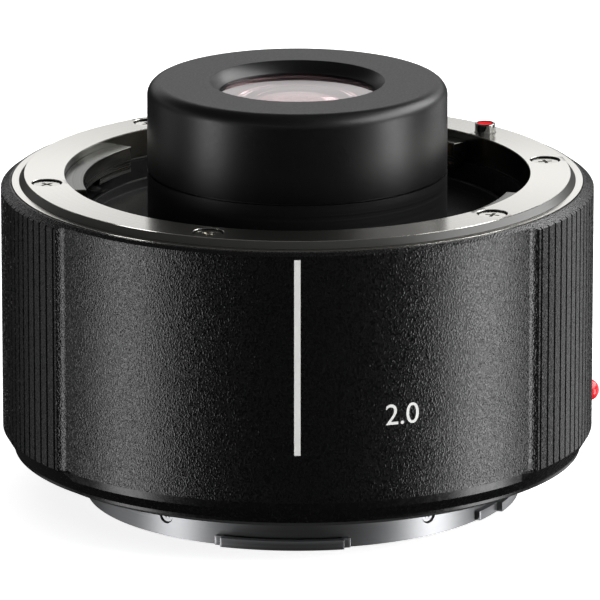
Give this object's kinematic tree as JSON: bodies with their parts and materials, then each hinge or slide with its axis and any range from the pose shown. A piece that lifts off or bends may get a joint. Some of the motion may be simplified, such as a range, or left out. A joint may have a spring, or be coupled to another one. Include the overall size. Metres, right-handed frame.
{
  "type": "camera teleconverter",
  "caption": "Short round barrel with a bayonet at each end, ribbed grips and a dark nose; it goes between a camera and a lens and enlarges the picture.",
  "frame": {"origin": "centre of the camera-side seat face", "axes": "+Z along the optical axis towards the lens; -Y towards the panel with the index line"},
  "size_m": [0.0731, 0.071, 0.0513],
  "materials": {
    "textured_black": "crinkle paint",
    "smooth_black": "satin paint",
    "white_paint": "matt paint",
    "red_plastic": "gloss",
    "red_paint": "gloss paint",
    "seal_rubber": "matt",
    "plated_mount": "satin plating",
    "screw_steel": "plated",
    "spring_steel": "polished",
    "black_plastic": "matt",
    "gold_contact": "gold plating",
    "frame_alloy": "blackened casting",
    "black_alloy": "black anodised",
    "shim_brass": "rolled",
    "coated_glass": "coated",
    "board": "solder mask",
    "flex": "film"
  },
  "bodies": {
    "converter": {"outer_barrel": "textured_black", "base_ring": "smooth_black", "index_line": "white_paint", "index_dome": "red_plastic", "mount_seal": "seal_rubber", "ring_gasket": "seal_rubber", "lens_ring": "plated_mount", "camera_bayonet": "plated_mount", "lens_ring_screws": "screw_steel", "camera_bayonet_screws": "screw_steel", "rear_baffle_screws": "screw_steel", "optics_screws": "screw_steel", "throat_floor_screws": "screw_steel", "board_screws": "screw_steel", "bayonet_spring": "spring_steel", "lock_spring": "spring_steel", "contact_springs": "spring_steel", "rear_baffle": "black_plastic", "rear_contact_block": "black_plastic", "front_contact_block": "black_plastic", "throat_floor": "black_plastic", "board_chips": "black_plastic", "rear_contacts": "gold_contact", "main_frame": "frame_alloy", "nose_cap": "black_alloy", "nose_sleeve": "black_alloy", "front_cell": "black_alloy", "rear_cell": "black_alloy", "front_spacer": "black_alloy", "rear_spacer": "black_alloy", "rear_lock_ring": "black_alloy", "light_stop": "black_alloy", "optics_shim": "shim_brass", "lens_1": "coated_glass", "lens_2": "coated_glass", "lens_3": "coated_glass", "lens_4": "coated_glass", "lens_5": "coated_glass", "lens_6": "coated_glass", "lens_7": "coated_glass", "lens_8": "coated_glass", "circuit_board": "board", "front_flex": "flex", "rear_flex": "flex"},
    "release": {"release_lever": "smooth_black", "release_plate": "spring_steel", "lever_screw": "screw_steel"},
    "pin": {"lock_pin": "plated_mount", "lock_pin_dot": "red_paint"},
    "contacts": {"contact_pins": "gold_contact"}
  },
  "joints": [
    {"name": "release_slide", "type": "slide", "parent": "converter", "child": "release", "axis": [0, 0, -1], "range_m": [0, 0.0014], "stiffness_N_per_m": 600, "springref_m": -0.0025},
    {"name": "lock_pin_slide", "type": "slide", "parent": "converter", "child": "pin", "axis": [0, 0, -1], "range_m": [0, 0.0014], "stiffness_N_per_m": 600, "springref_m": -0.0025, "deforming": ["lock_spring"]},
    {"name": "contact_slide", "type": "slide", "parent": "converter", "child": "contacts", "axis": [0, 0, -1], "range_m": [0, 0.0007], "stiffness_N_per_m": 300, "springref_m": -0.001, "deforming": ["contact_springs"]}
  ],
  "couplings": [
    {"joint": "lock_pin_slide", "follows": "release_slide", "ratio": 1}
  ]
}
